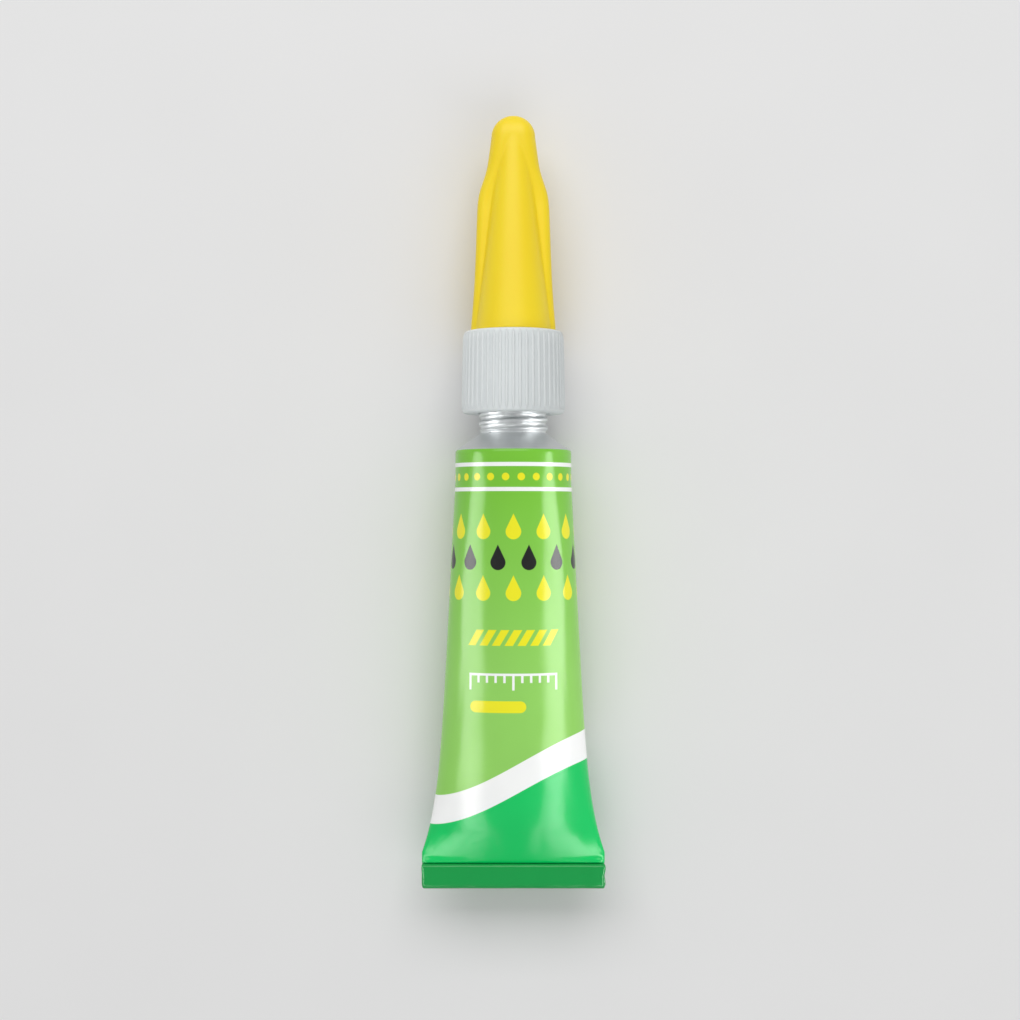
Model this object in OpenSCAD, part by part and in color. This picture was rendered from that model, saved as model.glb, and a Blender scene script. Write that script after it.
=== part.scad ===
// Super glue tube: a folded aluminium tube with its glue, a ribbed screw nozzle and a winged cap.
// Each piece is drawn standing on the folded tail, front towards -Y, and then laid on its back.

/* [Sleeve] */
// Diameter of the sleeve where it is round, under the shoulder
tube_d = 12; // [9:0.1:16]
// Height of the shoulder's corner above the bottom of the folded tail
sleeve_h = 45.15; // [38:0.05:60]
// Height of the round land under the shoulder
land_h = 3; // [2:0.1:6]
// Thickness of the aluminium foil
foil = 0.12; // [0.1:0.01:0.2]
// How much the land and the folded tail stand proud of the foil on each face
step_h = 0.03; // [0.02:0.01:0.05]
// Share of the flattening that is an even taper, the rest being the pinch at the tail
taper_share = 0.58; // [0.4:0.02:0.8]
// How late the pinch sets in
pinch_power = 8; // [4:1:9]

/* [Folded tail] */
// Height of the folded strip
fold_h = 2.6; // [2:0.1:4]
// Height that is pressed flat above the fold
flat_h = 1.1; // [0.3:0.1:1.5]
// Gap between the layers of the fold
layer_gap = 0.04; // [0.02:0.01:0.1]
// Height of the sealing strip inside the tail
sealant_h = 2.4; // [1.5:0.1:4]

/* [Shoulder and neck] */
// Height of the cone from the sleeve to the neck
shoulder_h = 1.75; // [1.2:0.05:3]
// Thickness of the shoulder
shoulder_t = 0.45; // [0.3:0.05:0.8]
// Radius of the corner between sleeve and shoulder
corner_r = 0.5; // [0.2:0.05:1]
// Diameter over the neck's thread
neck_d = 7; // [6:0.1:8]
// Height of the neck
neck_h = 6.3; // [5:0.1:9]
// Diameter of the neck's bore
neck_bore_d = 4.6; // [3.6:0.1:5]
// Thickness of the membrane that closes the neck
membrane_t = 0.12; // [0.08:0.01:0.2]
// Clearance round the membrane in the bore
membrane_clearance = 0.02; // [0.01:0.01:0.05]

/* [Glue] */
// Height of the glue's level above the tube's axis, with the tube on its back
glue_level = 1.9; // [0.5:0.1:4]
// Gap between the glue or the sealing strip and the foil
fill_gap = 0.06; // [0.04:0.01:0.15]

/* [Nozzle] */
// Bare neck that shows under the collar while the membrane is whole
collar_gap = 2.1; // [1.2:0.1:3]
// Height of the collar
collar_h = 8.45; // [7.5:0.05:12]
// Diameter over the ribs at the collar's top
collar_top_d = 10.45; // [9.5:0.05:13]
// Diameter over the ribs at the collar's foot
collar_foot_d = 10.76; // [9.8:0.02:13.5]
// Number of grip ribs
rib_count = 48; // [24:2:60]
// Height of a grip rib
rib_h = 0.13; // [0.08:0.01:0.2]
// Width of a grip rib
rib_w = 0.36; // [0.25:0.01:0.5]
// Radius of the collar's rounded edges
edge_r = 0.3; // [0.2:0.05:0.6]
// Running clearance between the neck and the collar's bore
neck_clearance = 0.1; // [0.06:0.01:0.2]
// Gap left when the nozzle is screwed right down
seat_clearance = 0.06; // [0.03:0.01:0.15]
// Height of the spike's point above the whole membrane
spike_clearance = 0.25; // [0.15:0.05:0.4]
// Diameter of the piercing spike
spike_d = 2.6; // [2.2:0.1:3.2]
// Diameter of the spike at its slanted end
spike_tip_d = 2; // [1.7:0.05:2.2]
// Slant of the spike's end
spike_slant = 30; // [10:1:40]
// Height of the screw spigot that the cap sits on
spigot_h = 3.5; // [2.5:0.1:5]
// Diameter of the screw spigot
spigot_d = 6; // [5:0.1:6.6]
// Height of the spout's tip above the collar
spout_h = 17.5; // [14:0.1:19]
// Diameter of the spout's cone above the spigot
spout_base_d = 4.8; // [4:0.1:5]
// Diameter of the spout's tip
spout_tip_d = 1.8; // [1.4:0.1:2.4]
// Diameter of the glue channel at the spike
channel_d = 1.2; // [0.8:0.1:1.6]
// Diameter of the glue channel at the tip
channel_tip_d = 0.9; // [0.8:0.05:1.2]

/* [Cap] */
// Height of the cap
cap_h = 22.3; // [20:0.1:30]
// Gap between the cap and the collar
cap_gap = 0.05; // [0.03:0.01:0.2]
// Diameter of the cap's round core at its foot
core_foot_d = 7.9; // [7.6:0.1:9]
// Diameter of the core where the domed top starts
core_top_d = 3; // [2.8:0.1:3.6]
// Height of the cap's domed top, and half its width
dome_r = 2.2; // [1.9:0.05:2.8]
// Width over the wings at the foot
wing_foot_w = 8.6; // [8:0.05:10]
// Width over the wings at their upper shoulder
wing_top_w = 7.4; // [6:0.05:8]
// Thickness of a wing, which grows to the core's above the shoulder
wing_t = 1.5; // [1:0.1:3]
// Height of the wings' upper shoulder above the foot
wing_shoulder_h = 13; // [10:0.1:16]
// Height over which the wings run into the domed top
wing_fade_h = 7.4; // [4:0.1:14]
// Clearance between the spout and the cap's inside
cap_clearance = 0.25; // [0.15:0.05:0.4]
// Running clearance between the screw spigot and the cap
spigot_clearance = 0.08; // [0.05:0.01:0.15]
// Diameter of the pin that keeps the spout clear
pin_d = 0.6; // [0.4:0.05:0.65]
// Depth that the pin reaches into the spout
pin_reach = 4.5; // [2:0.1:8]
// Depth that the pin is set into the cap
pin_set = 2.6; // [1.5:0.1:3]
// Clearance round the pin in the cap
pin_clearance = 0.02; // [0.01:0.01:0.05]

/* [Hidden] */

$fn = 64;
around = 48; // points round a lofted section
cap_around = 72;
flare_rows = 20; // sections along a long loft
seal_rows = 6;
cap_rows = 18;
dome_rows = 5;
overlap = 0.4; // how far joined solids run into each other
past = 1; // how far a cut runs past the face it opens

tube_r = tube_d / 2;
land_wall = foil + 2 * step_h;
layer_t = 2 * land_wall; // the folded tail is two walls pressed together
flat_z = fold_h + flat_h;
flare_top = sleeve_h - land_h;
taper_z = mix(flat_z, flare_top, 0.55); // from here up to the land the sleeve is a plain taper
cavity_z = flat_z + 2 * foil;
seal_top = flat_z + sealant_h;
fill_inset = land_wall + fill_gap;

neck_r = neck_d / 2;
bore_r = neck_bore_d / 2;
neck_foot = sleeve_h + shoulder_h;
neck_top = neck_foot + neck_h;
slope = atan2(tube_r - neck_r, shoulder_h); // the shoulder's normal above the horizontal
shoulder_drop = shoulder_t / sin(slope); // the shoulder's thickness, measured upright

collar_foot = neck_foot + collar_gap;
collar_top = collar_foot + collar_h;
nozzle_drop = collar_gap - seat_clearance;
ceiling = neck_top + nozzle_drop + seat_clearance;
spike_tip = neck_top + spike_clearance;
spout_tip = collar_top + spout_h;
spigot_top = collar_top + spigot_h;
collar_bore_r = neck_r + neck_clearance;

cap_foot = collar_top + cap_gap;
cap_tip = cap_foot + cap_h;
cap_ceiling = spout_tip + cap_clearance;
pin_tip = spout_tip - pin_reach;
pin_top = cap_ceiling + pin_set;
pin_r = pin_d / 2;
dome_foot = cap_h - dome_r; // above the cap's foot

function mix(a, b, t) = a + (b - a) * t;
function smooth(t) = let (k = min(max(t, 0), 1)) k * k * (3 - 2 * k);

// The second half-axis of an oval whose girth is that of the round sleeve
function other_half(half) =
    (3 * tube_d - 4 * half + sqrt(3 * tube_d ^ 2 + 12 * tube_d * half - 20 * half ^ 2)) / 6;

// Share of the way from round, at the land, to flat, at the tail
function flattening(z) =
    let (u = min(max((flare_top - z) / (flare_top - flat_z), 0), 1))
    taper_share * u + (1 - taper_share) * u ^ pinch_power;

function half_width(z) = mix(tube_r, other_half(layer_t / 2), flattening(z));

// One oval section of the sleeve, drawn in by inset, and cut off level in front if front_limit asks for it
function sleeve_section(z, inset, front_limit = tube_d) =
    let (a = half_width(z) - inset, b = other_half(half_width(z)) - inset)
    [for (k = [0 : around - 1])
        let (t = 360 * k / around)
        [a * cos(t), max(b * sin(t), -front_limit), z]];

// Heights of the sections, closer together towards the tail
function flare_heights(low, high, rows = flare_rows) =
    [for (k = [0 : rows]) mix(low, high, (k / rows) ^ 1.5)];

// Radius in direction t of a wing's section, a bar with round ends
function wing_radius(t, half_w, half_t) =
    let (c = abs(cos(t)), s = abs(sin(t)), bar = half_w - half_t)
    s * bar < c * half_t
        ? bar * c + sqrt(half_t ^ 2 - (bar * s) ^ 2)
        : half_t / s;

function core_radius(h) = mix(core_foot_d, core_top_d, h / dome_foot) / 2;

function wing_half_width(h) =
    mix(mix(wing_foot_w, wing_top_w, h / wing_shoulder_h) / 2, dome_r,
        smooth((h - wing_shoulder_h) / wing_fade_h));

function wing_half_t(h) =
    mix(wing_t, core_top_d, smooth((h - wing_shoulder_h) / (dome_foot - wing_shoulder_h))) / 2;

// One section of the cap, with more points round the wings' edges; in the dome the last one shrinks
function cap_section(h) =
    let (low = min(h, dome_foot), shrink = sqrt(1 - ((h - low) / dome_r) ^ 2))
    [for (k = [0 : cap_around - 1])
        let (p = 360 * k / cap_around, t = p - 17 * sin(2 * p),
             wing = wing_radius(t, wing_half_width(low), wing_half_t(low)),
             r = shrink * max(core_radius(low), wing))
        [r * cos(t), r * sin(t), cap_foot + h]];

function cap_heights() =
    concat([for (k = [0 : cap_rows]) mix(0, dome_foot, k / cap_rows)],
           [for (k = [1 : dome_rows]) dome_foot + dome_r * sin(86 * k / dome_rows)]);

// Triangles of the side between section i and the next one
function side_faces(i, n) =
    [for (k = [0 : n - 1])
        let (m = (k + 1) % n, a = i * n)
        each [[a + k, a + n + k, a + m], [a + m, a + n + k, a + n + m]]];

// A solid through a stack of sections, lowest first
module loft(sections) {
    n = len(sections[0]);
    rows = len(sections);
    polyhedron(
        points = [for (s = sections) each s],
        faces = concat(
            [for (i = [0 : rows - 2]) each side_faces(i, n)],
            [[for (k = [0 : n - 1]) k]],
            [[for (k = [n - 1 : -1 : 0]) (rows - 1) * n + k]]));
}

// Lays a standing piece on its back, with the middle of its length over the origin
module laid_down() {
    translate([0, -cap_tip / 2, tube_r]) rotate([-90, 0, 0]) children();
}

// A strip of the folded tail, from the front or back face at y to the next one, between two heights
module fold_layer(y, low, high) {
    half = half_width(flat_z);
    translate([-half, y, low]) cube([2 * half, layer_t, high - low]);
}

// A half round turn of the fold about the middle at (y, z), inner_r inside, open upwards or downwards
module fold_turn(y, z, inner_r, up) {
    half = half_width(flat_z);
    outer_r = inner_r + layer_t;
    translate([-half, y, z]) rotate([90, 0, 90])
        difference() {
            cylinder(r = outer_r, h = 2 * half);
            translate([0, 0, -past]) cylinder(r = inner_r, h = 2 * half + 2 * past);
            translate([-outer_r - past, up ? 0 : -outer_r - past, -past])
                cube([2 * (outer_r + past), outer_r + past, 2 * (half + past)]);
        }
}

// The pressed tail, rolled forwards: back layer, front layer and the edge tucked between them
module folded_tail() {
    pitch = layer_t + layer_gap;
    back = -layer_t / 2;
    roll_r = layer_t / 2 + layer_gap;
    tuck_r = layer_gap / 2;
    roll_z = roll_r + layer_t;
    tuck_z = fold_h - tuck_r - layer_t;
    fold_layer(back, roll_z, flat_z);
    fold_layer(back - pitch, roll_z, tuck_z);
    fold_layer(back - 2 * pitch, roll_z, tuck_z);
    fold_turn(-pitch, roll_z, roll_r, true);
    fold_turn(-1.5 * pitch, tuck_z, tuck_r, false);
}

// The foil of the sleeve, open at the land, its tail end reaching into the fold
module sleeve() {
    difference() {
        loft(concat(
            [sleeve_section(flat_z - overlap, step_h)],
            [for (z = flare_heights(flat_z, taper_z)) sleeve_section(z, step_h)],
            [sleeve_section(flare_top, step_h)],
            [sleeve_section(flare_top + overlap, step_h)]));
        loft(concat(
            [for (z = flare_heights(cavity_z, taper_z)) sleeve_section(z, step_h + foil)],
            [sleeve_section(flare_top, step_h + foil)],
            [sleeve_section(flare_top + overlap + past, step_h + foil)]));
    }
}

// The round land, the shoulder and the neck, turned in one
module shoulder() {
    corner_z = sleeve_h - corner_r * tan(slope / 2);
    inner_r = tube_r - land_wall;
    rotate_extrude()
        polygon(concat(
            [[inner_r, flare_top], [tube_r, flare_top]],
            [for (t = [0 : slope / 4 : slope])
                [tube_r - corner_r + corner_r * cos(t), corner_z + corner_r * sin(t)]],
            [[neck_r, neck_foot], [neck_r, neck_top], [bore_r, neck_top],
             [bore_r, neck_foot + (neck_r - bore_r) / tan(slope) - shoulder_drop],
             [inner_r, sleeve_h + land_wall / tan(slope) - shoulder_drop]]));
}

// The impact-extruded aluminium tube
module tube() {
    color("yellowgreen") laid_down() {
        union() {
            sleeve();
            shoulder();
            folded_tail();
        }
    }
}

// The thin disc across the neck's mouth, which the spike breaks
module neck_membrane() {
    color("silver") laid_down()
        translate([0, 0, neck_top - membrane_t])
            cylinder(r = bore_r - membrane_clearance, h = membrane_t);
}

// The strip of sealing compound in the bottom of the sleeve
module tail_sealant() {
    color("ivory") laid_down()
        loft([for (z = flare_heights(cavity_z + fill_gap, seal_top, seal_rows))
            sleeve_section(z, fill_inset)]);
}

// The liquid glue, level with the tube on its back
module adhesive_fill() {
    color("lightcyan") laid_down()
        loft([for (z = flare_heights(seal_top + fill_gap, sleeve_h - shoulder_drop))
            sleeve_section(z, fill_inset, glue_level)]);
}

module nozzle_outline() {
    rib_top_r = collar_top_d / 2 - rib_h;
    rib_foot_r = collar_foot_d / 2 - rib_h;
    polygon(concat(
        [[collar_bore_r, collar_foot]],
        [for (t = [-90 : 22.5 : 0])
            [rib_foot_r - edge_r + edge_r * cos(t), collar_foot + edge_r + edge_r * sin(t)]],
        [for (t = [0 : 22.5 : 90])
            [rib_top_r - edge_r + edge_r * cos(t), collar_top - edge_r + edge_r * sin(t)]],
        [[spigot_d / 2, collar_top], [spigot_d / 2, spigot_top],
         [spout_base_d / 2, spigot_top], [spout_tip_d / 2, spout_tip],
         [channel_tip_d / 2, spout_tip], [channel_d / 2, ceiling], [channel_d / 2, spike_tip],
         [spike_tip_d / 2, spike_tip], [spike_d / 2, ceiling], [collar_bore_r, ceiling]]));
}

// The grip ribs, standing on the collar's taper
module grip_ribs() {
    lean = atan2((collar_foot_d - collar_top_d) / 2, collar_h);
    for (k = [0 : rib_count - 1])
        rotate([0, 0, 360 * k / rib_count])
            translate([collar_foot_d / 2, 0, collar_foot]) rotate([0, -lean, 0])
                translate([-2 * rib_h, -rib_w / 2, edge_r])
                    cube([2 * rib_h, rib_w, collar_h - 2 * edge_r]);
}

// The ribbed screw collar and the spout, one moulding, with the slanted spike inside
module nozzle() {
    color("gainsboro") laid_down()
        difference() {
            union() {
                rotate_extrude() nozzle_outline();
                grip_ribs();
            }
            translate([-spike_tip_d / 2, 0, spike_tip]) rotate([0, -spike_slant, 0])
                translate([0, -spike_d, -spike_d]) cube([2 * spike_d, 2 * spike_d, spike_d]);
        }
}

// The cap: a tapered core, a wing on each side, an oval domed top, and the socket for spigot, spout and pin
module cap() {
    color("gold") laid_down()
        difference() {
            loft([for (h = cap_heights()) cap_section(h)]);
            rotate_extrude()
                polygon([[0, cap_foot - past], [spigot_d / 2 + spigot_clearance, cap_foot - past],
                         [spigot_d / 2 + spigot_clearance, spigot_top + cap_clearance],
                         [spout_base_d / 2 + cap_clearance, spigot_top + cap_clearance],
                         [spout_tip_d / 2 + cap_clearance, cap_ceiling],
                         [pin_r + pin_clearance, cap_ceiling], [pin_r + pin_clearance, pin_top],
                         [0, pin_top]]);
        }
}

// The steel pin, pointed at its lower end
module cap_pin() {
    color("slategray") laid_down()
        rotate_extrude()
            polygon([[0, pin_tip], [pin_r, pin_tip + pin_d], [pin_r, pin_top - pin_clearance],
                     [0, pin_top - pin_clearance]]);
}

tube();
neck_membrane();
tail_sealant();
adhesive_fill();
nozzle();
cap();
cap_pin();
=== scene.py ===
# Looks of a small glue tube lying on its back: printed aluminium tube, ribbed screw nozzle, winged cap.
import math

import bpy
import numpy as np
from mathutils import Matrix, Vector


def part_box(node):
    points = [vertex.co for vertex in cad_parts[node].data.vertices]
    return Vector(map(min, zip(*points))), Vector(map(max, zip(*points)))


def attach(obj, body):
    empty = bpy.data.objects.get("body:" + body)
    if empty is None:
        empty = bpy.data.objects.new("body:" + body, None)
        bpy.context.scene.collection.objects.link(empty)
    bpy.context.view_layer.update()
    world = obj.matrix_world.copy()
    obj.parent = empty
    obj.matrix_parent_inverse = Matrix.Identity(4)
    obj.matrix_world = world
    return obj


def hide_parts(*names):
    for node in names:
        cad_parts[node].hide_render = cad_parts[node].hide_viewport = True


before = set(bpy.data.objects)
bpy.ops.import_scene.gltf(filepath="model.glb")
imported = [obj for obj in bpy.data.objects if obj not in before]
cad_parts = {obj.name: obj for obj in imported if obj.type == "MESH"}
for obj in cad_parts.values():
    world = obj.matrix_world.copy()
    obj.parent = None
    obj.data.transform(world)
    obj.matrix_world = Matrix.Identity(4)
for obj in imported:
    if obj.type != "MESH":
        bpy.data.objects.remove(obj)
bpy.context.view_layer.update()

# Sizes in mm, heights counted from the bottom of the folded tail, taken from the frame where it has them
MM = 0.001
tube_low, tube_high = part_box("tube")
nozzle_low, nozzle_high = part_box("nozzle")
cap_low, cap_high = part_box("cap")
TAIL_Y = tube_low[1]
AXIS_Z = (tube_low[2] + tube_high[2]) / 2


def height_of(y):
    """Height in mm above the tail of a place along the frame's Y."""
    return (y - TAIL_Y) / MM


# Neck, shoulder and sleeve
TUBE_COLUMNS = 288
SECTION_STEPS = 4000
TUBE_R = (tube_high[2] - tube_low[2]) / 2 / MM
GIRTH = 2 * math.pi * TUBE_R
NECK_H = 6.3
SHOULDER_H = 1.75
LAND_H = 3
NECK_TOP = height_of(tube_high[1])
NECK_FOOT = NECK_TOP - NECK_H
CORNER_H = NECK_FOOT - SHOULDER_H
FLARE_TOP = CORNER_H - LAND_H
NECK_R = 3.5
NECK_CREST_R = NECK_R + 0.07
NECK_ROOT_R = NECK_R - 0.15
NECK_PITCH = 0.9
BORE_R = 2.3
CORNER_R = 0.5
CONE_HOLLOW = 0.02
FOIL = 0.15
TAPER_SHARE = 0.58
PINCH_POWER = 8

# The folded tail, and the wedge in which the sleeve closes on it
FLAT_HALF = (tube_high[0] - tube_low[0]) / 2 / MM
FOLD_H = 2.6
FLAT_H = 1.1
FLAT_TOP = FOLD_H + FLAT_H
LAYER_T = 0.36
LAYER_GAP = 0.04
TAIL_CORNER_R = 0.4
WEDGE_FOOT = FOLD_H + 0.08
WEDGE_TOP = 6
WEDGE_BOW = 0.92
FOLD_SEAT = 0.2
PRESSED_H = 0.7

# Unevenness of the crimp: depth in mm, radians per mm and shift of each wave
CRIMP_FADE = 0.6
CRIMP_WAVES = ((0.018, 1.1, 0.7), (0.012, 2.6, 2.0))
RIGHT_END_WAVE = (0.1, 2.1, 0.6)
LEFT_END_WAVE = (0.04, 1.7, 0)

# Nozzle
NOZZLE_COLUMNS = 192
COLLAR_H = 8.45
COLLAR_FOOT = height_of(nozzle_low[1])
COLLAR_TOP = COLLAR_FOOT + COLLAR_H
RIB_H = 0.13
RIB_W = 0.36
RIB_COUNT = 48
RIB_STEPS = 21
RIB_SIDES = 10
RIB_END = 0.15
RIB_END_POWER = 14
RIB_END_LEAST = 0.03
COLLAR_FOOT_R = (nozzle_high[0] - nozzle_low[0]) / 2 / MM - RIB_H
COLLAR_TOP_R = COLLAR_FOOT_R - 0.155
COLLAR_BORE_R = NECK_R + 0.1
EDGE_R = 0.28
CEILING = NECK_TOP + 2.1
SPIKE_TIP = NECK_TOP + 0.25
SPIKE_R = 1.3
SPIKE_TIP_R = 1
SPIKE_SLANT = math.tan(math.radians(30))
SPIGOT_H = 3.5
SPIGOT_TOP = COLLAR_TOP + SPIGOT_H
SPIGOT_R = 3
SPIGOT_ROOT_R = 2.76
SPIGOT_LEAD = 3
SPIGOT_STARTS = 2
SPOUT_TIP = height_of(nozzle_high[1])
SPOUT_BASE_R = 2.4
SPOUT_TIP_R = 0.9
TIP_EDGE_R = 0.16
CHANNEL_R = 0.6
CHANNEL_TIP_R = 0.45

# Cap, its heights counted from its own foot
CAP_COLUMNS = 288
CAP_FOOT = height_of(cap_low[1])
CAP_H = height_of(cap_high[1]) - CAP_FOOT
CAP_EDGE_R = 0.18
CORE_FOOT_R = 3.95
CORE_TOP_R = 1.5
DOME_R = 2.2
DOME_FOOT = CAP_H - DOME_R
WING_FOOT_HALF = (cap_high[0] - cap_low[0]) / 2 / MM
WING_HALF_T = 0.75
WING_SHOULDER_H = 13
CREASE = 0.3
CREASE_CROWDING = math.radians(17)
SOCKET_R = SPIGOT_R + 0.08
SPOUT_CLEARANCE = 0.25
PIN_SET = 2.6
PIN_HOLE_R = 0.32

# Outline of the wings: how far they have drawn in from their foot at each height, and how far it is blended
WING_HEIGHTS = (0, 1, 2.5, 5, 8, 12, 13.4, 14.4, 15.4, 16.2, 17, 18.2, 19.4, 20.4)
WING_NARROWING = (-0.06, 0.02, 0.15, 0.31, 0.43, 0.56, 0.63, 0.8, 1.15, 1.43, 1.62, 1.79, 1.94, 2.1)
WING_BLEND = 0.7


# Shader and geometry node sockets as Python values
class Wire:
    """A node socket; arithmetic on it adds Math nodes, and add() makes any other node."""

    def __init__(self, tree, socket=None):
        self.tree = tree
        self.socket = socket

    def add(self, kind, sockets=None, output=0, **settings):
        """A new node: its settings are set first, then its sockets get their values or links."""
        node = self.tree.nodes.new(kind)
        for name, value in settings.items():
            setattr(node, name, value)
        for key, value in (sockets or {}).items():
            if isinstance(value, Wire):
                self.tree.links.new(value.socket, node.inputs[key])
            else:
                node.inputs[key].default_value = value
        return Wire(self.tree, node.outputs[output])

    def beside(self, output):
        """Another output of the same node."""
        return Wire(self.tree, self.socket.node.outputs[output])

    def maths(self, operation, first, second=None, clamp=False):
        sockets = {0: first}
        if second is not None:
            sockets[1] = second
        return self.add("ShaderNodeMath", sockets, operation=operation, use_clamp=clamp)

    def __add__(self, other):
        return self.maths("ADD", self, other)

    def __radd__(self, other):
        return self.maths("ADD", other, self)

    def __sub__(self, other):
        return self.maths("SUBTRACT", self, other)

    def __rsub__(self, other):
        return self.maths("SUBTRACT", other, self)

    def __mul__(self, other):
        return self.maths("MULTIPLY", self, other)

    def __rmul__(self, other):
        return self.maths("MULTIPLY", other, self)

    def __truediv__(self, other):
        return self.maths("DIVIDE", self, other)

    def __pow__(self, other):
        return self.maths("POWER", self, other)

    def __mod__(self, other):
        return self.maths("FLOORED_MODULO", self, other)

    def __abs__(self):
        return self.maths("ABSOLUTE", self)

    def least(self, other):
        return self.maths("MINIMUM", self, other)

    def most(self, other):
        return self.maths("MAXIMUM", self, other)

    def root(self):
        return self.maths("SQRT", self)

    def cosine(self):
        return self.maths("COSINE", self)


def new_material(name):
    """A material with an empty tree, its nodes' maker and its Principled shader."""
    material = bpy.data.materials.new(name)
    material.use_nodes = True
    tree = material.node_tree
    tree.nodes.clear()
    shader = tree.nodes.new("ShaderNodeBsdfPrincipled")
    output = tree.nodes.new("ShaderNodeOutputMaterial")
    tree.links.new(shader.outputs[0], output.inputs["Surface"])
    return material, Wire(tree), shader


def feed(shader, **sockets):
    """Sets or links sockets of a Principled shader, named with underscores for spaces."""
    for key, value in sockets.items():
        target = shader.inputs[key.replace("_", " ")]
        if isinstance(value, Wire):
            value.tree.links.new(value.socket, target)
        else:
            target.default_value = value


def linear(red, green, blue):
    """A colour as it shows on a screen, 0 to 255, turned into the linear values that the shaders take."""
    def one(value):
        value = value / 255
        return value / 12.92 if value <= 0.04045 else ((value + 0.055) / 1.055) ** 2.4
    return (one(red), one(green), one(blue), 1)


def blend_colours(wires, factor, first, second, blend="MIX"):
    """A colour between two, by a factor from 0 to 1."""
    return wires.add("ShaderNodeMix", {0: factor, 6: first, 7: second}, 2, data_type="RGBA", blend_type=blend)


def object_place(wires, stretch=(1, 1, 1)):
    """Object coordinates in mm, stretched along the axes."""
    place = wires.add("ShaderNodeTexCoord", output=3)
    scale = tuple(each / MM for each in stretch)
    return wires.add("ShaderNodeMapping", {"Vector": place, "Scale": scale}, vector_type="POINT")


def noise(wires, place, scale, detail):
    """Even noise from 0 to 1 about 0.5, scale in waves per mm."""
    sockets = {"Vector": place, "Scale": scale, "Detail": detail, "Roughness": 0.5}
    return wires.add("ShaderNodeTexNoise", sockets, noise_dimensions="3D")


def bump(wires, height, depth):
    """A surface normal for a relief whose height runs from 0 to 1 over a depth in mm."""
    return wires.add("ShaderNodeBump", {"Strength": 1.0, "Distance": depth * MM, "Height": height})


def inside(distance, soft=0.05):
    """1 where a distance in mm is below 0, with an edge as soft as print has."""
    return distance.maths("SUBTRACT", 0.5, distance / soft, clamp=True)


# Skins through rings of points
def mix(first, second, share):
    return first + (second - first) * share


def smooth(share):
    share = np.clip(share, 0, 1)
    return share * share * (3 - 2 * share)


def place_points(points):
    """Standing points (right, front, height) in mm as points of the frame in metres."""
    x, front, height = np.asarray(points).T
    return np.stack([x * MM, TAIL_Y + height * MM, AXIS_Z + front * MM], 1)


def turn_angles(count):
    """Angles of the columns, from the middle of the back round the left side and the front."""
    return np.arange(count) * 2 * math.pi / count


def circle(radius, height, angles):
    """A ring about the axis; radius and height may change with the angle."""
    flat = np.ones_like(angles)
    return np.stack([-radius * np.sin(angles), -radius * np.cos(angles), height * flat], 1)


def turned(profile, angles):
    """Rings of a turned shape, from its profile of (radius, height)."""
    return [circle(radius, height, angles) for radius, height in profile]


def tapered(first_r, last_r, first_h, last_h, shares):
    """Profile points of a straight cone, at shares of its length."""
    return [(mix(first_r, last_r, share), mix(first_h, last_h, share)) for share in shares]


def arc_points(centre_r, centre_h, radius, first, last, steps):
    """Profile points of a rounded edge, angles in degrees from outwards towards upwards."""
    turns = np.radians(np.linspace(first, last, steps))
    return [(centre_r + radius * math.cos(t), centre_h + radius * math.sin(t)) for t in turns]


def thread_rings(low, high, angles, root, crest, lead, starts, step, rise):
    """Rings of a screw thread that runs in and out over its first and last part turn."""
    rings = []
    pitch = lead / starts
    count = int(round((high - low) / step))
    for height in np.linspace(low, high, count + 1):
        phase = 2 * math.pi * (height / pitch - starts * angles / (2 * math.pi))
        tooth = np.clip(0.5 + 0.8 * np.cos(phase), 0, 1)
        fade = smooth((height - low) / (rise * pitch)) * smooth((high - height) / (rise * pitch))
        rings.append(circle(root + (crest - root) * tooth * fade, height, angles))
    return rings


def skin(name, rings, materials, row_materials=None, heights=None, loop=False, sharp=40):
    """A closed mesh through rings; its ends get a face, or the last ring joins the first."""
    rings = np.asarray(rings, float)
    rows, count, _ = rings.shape
    spans = rows if loop else rows - 1
    row = np.repeat(np.arange(spans), count)
    column = np.tile(np.arange(count), spans)
    after = (column + 1) % count
    upper = (row + 1) % rows
    corners = ((row, column), (row, after), (upper, after), (upper, column))
    quads = np.stack([ring * count + place for ring, place in corners], 1)
    points = place_points(rings.reshape(-1, 3))
    faces = quads.tolist()
    bands = row.tolist()
    if not loop:
        faces.append(list(range(count))[::-1])
        faces.append([(rows - 1) * count + k for k in range(count)])
        bands += [0, spans - 1]
    if signed_volume(points, quads) < 0:
        faces = [face[::-1] for face in faces]
    mesh = bpy.data.meshes.new(name)
    mesh.from_pydata(points.tolist(), [], faces)
    if heights is not None:
        print_map(mesh, count, np.asarray(heights))
    for material in materials:
        mesh.materials.append(material)
    if row_materials is not None:
        chosen = np.asarray(row_materials)[bands]
        mesh.polygons.foreach_set("material_index", chosen.astype(np.int32))
    mesh.shade_smooth()
    mesh.set_sharp_from_angle(angle=math.radians(sharp))
    mesh.validate()
    piece = bpy.data.objects.new(name, mesh)
    bpy.context.scene.collection.objects.link(piece)
    return piece


def signed_volume(points, quads):
    """Six times the volume inside the quads, below 0 if they face inwards."""
    a, b, c, d = (points[quads[:, k]] for k in range(4))
    first = np.einsum("ij,ij->i", a, np.cross(b, c)).sum()
    second = np.einsum("ij,ij->i", a, np.cross(c, d)).sum()
    return first + second


# Heights on the foil between which the print's map runs
PRINT_LOW = -8
PRINT_HIGH = 54


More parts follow.
